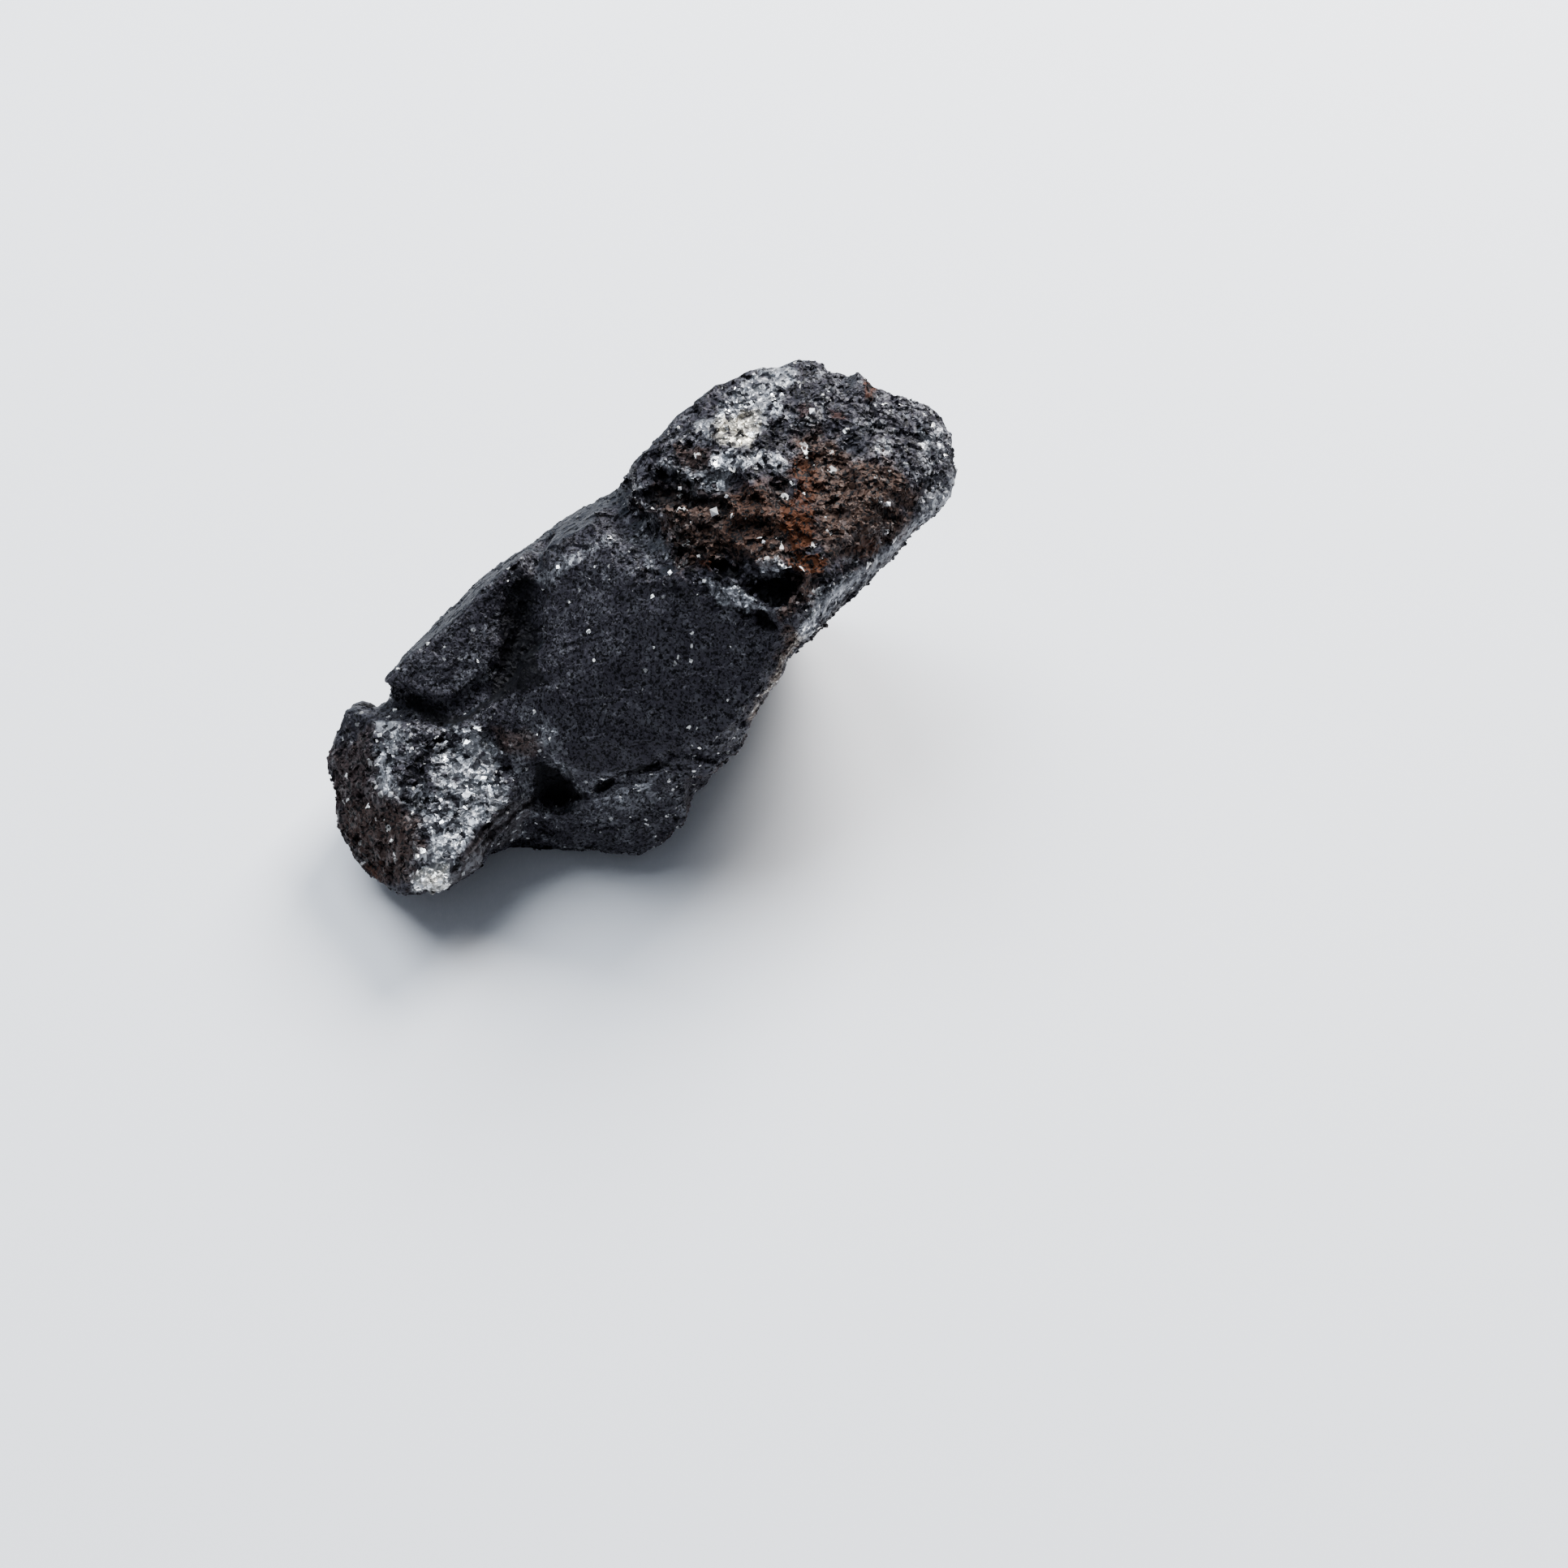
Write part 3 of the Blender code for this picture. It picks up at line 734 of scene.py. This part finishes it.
def grain_tree():
    """Geometry Nodes that set grains on a surface, as close as they fit, where its zone lets them."""
    tree = Tree(bpy.data.node_groups.new("grains", "GeometryNodeTree"))
    given, names = tree.inputs({
        "Surface": "Geometry", "Grain size": "Float", "Spacing": "Float", "Density": "Float", "Sink": "Float",
        "Tilt": "Float", "Zone": "String", "Seed": "Int", "Finish": "Material",
    })
    share = tree.node("GeometryNodeInputNamedAttribute", {"data_type": "FLOAT"}, {"Name": given["Zone"]})
    points = tree.node("GeometryNodeDistributePointsOnFaces", {"distribute_method": "POISSON"}, {
        "Mesh": given["Surface"], "Distance Min": given["Spacing"], "Density Max": given["Density"],
        "Density Factor": share, "Seed": given["Seed"],
    }, "Points")
    chance = tree.node("FunctionNodeRandomValue", {"data_type": "FLOAT"}, {"Seed": given["Seed"]}, output=1)
    marked = tree.node(
        "GeometryNodeStoreNamedAttribute", {"data_type": "FLOAT", "domain": "POINT"},
        {"Geometry": points, "Name": "grain", "Value": chance},
    )
    sink = tree.vector("SCALE", points.other("Normal"), given["Grain size"] * given["Sink"] * -1)
    sunk = tree.node("GeometryNodeSetPosition", {}, {"Geometry": marked, "Offset": sink})
    shapes = tree.tree.nodes.new("GeometryNodeGeometryToInstance")
    octahedron = tree.node("GeometryNodeMeshUVSphere", {}, {"Segments": 4, "Rings": 2, "Radius": 0.5})
    tree.tree.links.new(octahedron.socket, shapes.inputs[0])
    for sides, top in BROKEN_GRAINS:
        sizes = {"Vertices": sides, "Radius Top": top, "Radius Bottom": BROKEN_BASE, "Depth": BROKEN_HEIGHT}
        broken = tree.node("GeometryNodeMeshCone", {"fill_type": "NGON"}, sizes)
        tree.tree.links.new(broken.socket, shapes.inputs[0])
    lean = given["Tilt"]
    least = tree.node("ShaderNodeCombineXYZ", {}, {"X": lean * -1, "Y": lean * -1, "Z": 0.0})
    most = tree.node("ShaderNodeCombineXYZ", {}, {"X": lean, "Y": lean, "Z": math.tau})
    by_chance = ("FunctionNodeRandomValue", {"data_type": "FLOAT_VECTOR"})
    turn = tree.node(*by_chance, {"Min": least, "Max": most, "Seed": given["Seed"]})
    turns = {"Rotation": points.other("Rotation"), "Rotate By": turn}
    turned = tree.node("FunctionNodeRotateRotation", {"rotation_space": "LOCAL"}, turns)
    stretch = tree.node(*by_chance, {"Min": LEAST_STRETCH, "Max": MOST_STRETCH, "Seed": given["Seed"]})
    grains = tree.node("GeometryNodeInstanceOnPoints", {}, {
        "Points": sunk, "Instance": Shade(tree, shapes.outputs[0]), "Pick Instance": True, "Rotation": turned,
        "Scale": tree.vector("SCALE", stretch, given["Grain size"]),
    })
    real = tree.node("GeometryNodeRealizeInstances", {}, {"Geometry": grains})
    tree.result(tree.node("GeometryNodeSetMaterial", {}, {"Geometry": real, "Material": given["Finish"]}))
    return tree.tree, names


GRAIN_RECIPE, GRAIN_INPUTS = grain_tree()


def set_grains(name, size, spacing, density, tilt, seed):
    """One piece of grains, in mm, on the parts of the skin that the zone of the same name covers."""
    piece = new_object(name, skin.data.copy())
    modifier = piece.modifiers.new("grains", "NODES")
    modifier.node_group = GRAIN_RECIPE
    modifier[GRAIN_INPUTS["Grain size"]] = size * MM
    modifier[GRAIN_INPUTS["Spacing"]] = spacing * MM
    modifier[GRAIN_INPUTS["Density"]] = density / (MM * MM)
    modifier[GRAIN_INPUTS["Sink"]] = GRAIN_SINK
    modifier[GRAIN_INPUTS["Tilt"]] = tilt
    modifier[GRAIN_INPUTS["Zone"]] = name
    modifier[GRAIN_INPUTS["Seed"]] = seed
    modifier[GRAIN_INPUTS["Finish"]] = grain_finish
    settle(piece)
    move_to(piece.data, places_of(piece.data))
    print(name, "has", triangles_of(piece.data), "triangles")
    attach(piece, "root")


grain_finish = ore("magnetite_grains", "grain")
set_grains("coarse_grains", size=0.8, spacing=0.48, density=3.8, tilt=0.4, seed=3)
set_grains("medium_grains", size=0.6, spacing=0.42, density=4.5, tilt=0.45, seed=5)
set_grains("fine_grains", size=0.38, spacing=0.29, density=7.5, tilt=0.4, seed=8)


# A few crystals are larger than the rest and whole: octahedra of bright steel whose near-white colour is
# partly a painted highlight, sunk halfway into the skin. Each is given by its pixel of the photograph, its
# size in mm and how it is turned.
CRYSTAL_RISE = 0.05 * MM
LONE_CRYSTALS = [
    (880, 631, 1.1, 0.3), (482, 979, 0.8, 1.1), (530, 1092, 0.8, 0.7), (542, 1086, 0.7, 2),
    (522, 1084, 0.6, 1.6), (577, 1026, 0.5, 0.2), (868, 716, 0.55, 1.3), (941, 668, 0.5, 0.9),
    (838, 602, 0.5, 2.2), (962, 569, 0.6, 0.5), (1001, 507, 0.9, 1.8), (895, 612, 0.5, 0.4),
    (826, 706, 0.6, 1.4), (1094, 621, 0.6, 0.8), (468, 906, 0.6, 2.4),
]
work = bmesh.new()
for across, down, size, turn in LONE_CRYSTALS:
    spot, outward = surface.ray_cast(camera.location, sight(across, down))[:2]
    if spot is None:
        continue
    upright = outward.to_track_quat("Z", "Y").to_matrix().to_4x4()
    turned = Euler((turn, 0.6 * turn, 1.7 * turn)).to_matrix().to_4x4()
    placed = Matrix.Translation(spot + outward * CRYSTAL_RISE) @ upright @ turned
    bmesh.ops.create_uvsphere(work, u_segments=4, v_segments=2, radius=size * MM / 2, matrix=placed)
crystals = new_object("lone_crystals", bpy.data.meshes.new("lone_crystals"))
work.to_mesh(crystals.data)
work.free()
move_to(crystals.data, places_of(crystals.data))
crystal_glint_paint = bpy.data.materials.new("crystal_with_painted_glint")
crystal_glint_paint.use_nodes = True
crystal_glint_inputs = crystal_glint_paint.node_tree.nodes["Principled BSDF"].inputs
# Near white and only partly metallic, so that the crystals look bright from every side: a painted highlight
crystal_glint_inputs["Base Color"].default_value = (0.85, 0.87, 0.9, 1)
crystal_glint_inputs["Metallic"].default_value = 0.6
crystal_glint_inputs["Roughness"].default_value = 0.3
crystals.data.materials.append(crystal_glint_paint)
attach(crystals, "root")


# A plain pale floor that reaches far behind the stone, and soft light from high up behind it
FLOOR_REACH = 3.0
floor_mesh = bpy.data.meshes.new("floor")
floor_corners = [(x * FLOOR_REACH, y * FLOOR_REACH, 0) for x, y in ((-1, -1), (1, -1), (1, 1), (-1, 1))]
floor_mesh.from_pydata(floor_corners, [], [(0, 1, 2, 3)])
floor = new_object("floor", floor_mesh)
paper = bpy.data.materials.new("pale_paper")
paper.use_nodes = True
paper.node_tree.nodes["Principled BSDF"].inputs["Base Color"].default_value = (0.86, 0.88, 0.93, 1)
paper.node_tree.nodes["Principled BSDF"].inputs["Roughness"].default_value = 0.9
floor.data.materials.append(paper)


def softbox(name, place, size, power, colour):
    """A square soft light that faces the stone."""
    lamp = bpy.data.lights.new(name, "AREA")
    lamp.size = size
    lamp.energy = power
    lamp.color = colour
    light = new_object(name, lamp)
    light.location = place
    light.rotation_euler = (Vector(place) - LOOKED_AT).to_track_quat("Z", "Y").to_euler()


softbox("key", place=(0.3, 0.55, 0.52), size=0.35, power=19, colour=(1, 0.98, 0.95))
softbox("sky", place=(-0.2, 0.35, 0.7), size=0.6, power=11, colour=(0.88, 0.94, 1))
world = bpy.data.worlds.new("studio")
world.use_nodes = True
world.node_tree.nodes["Background"].inputs["Color"].default_value = (0.8, 0.87, 1, 1)
world.node_tree.nodes["Background"].inputs["Strength"].default_value = 0.22
bpy.context.scene.world = world
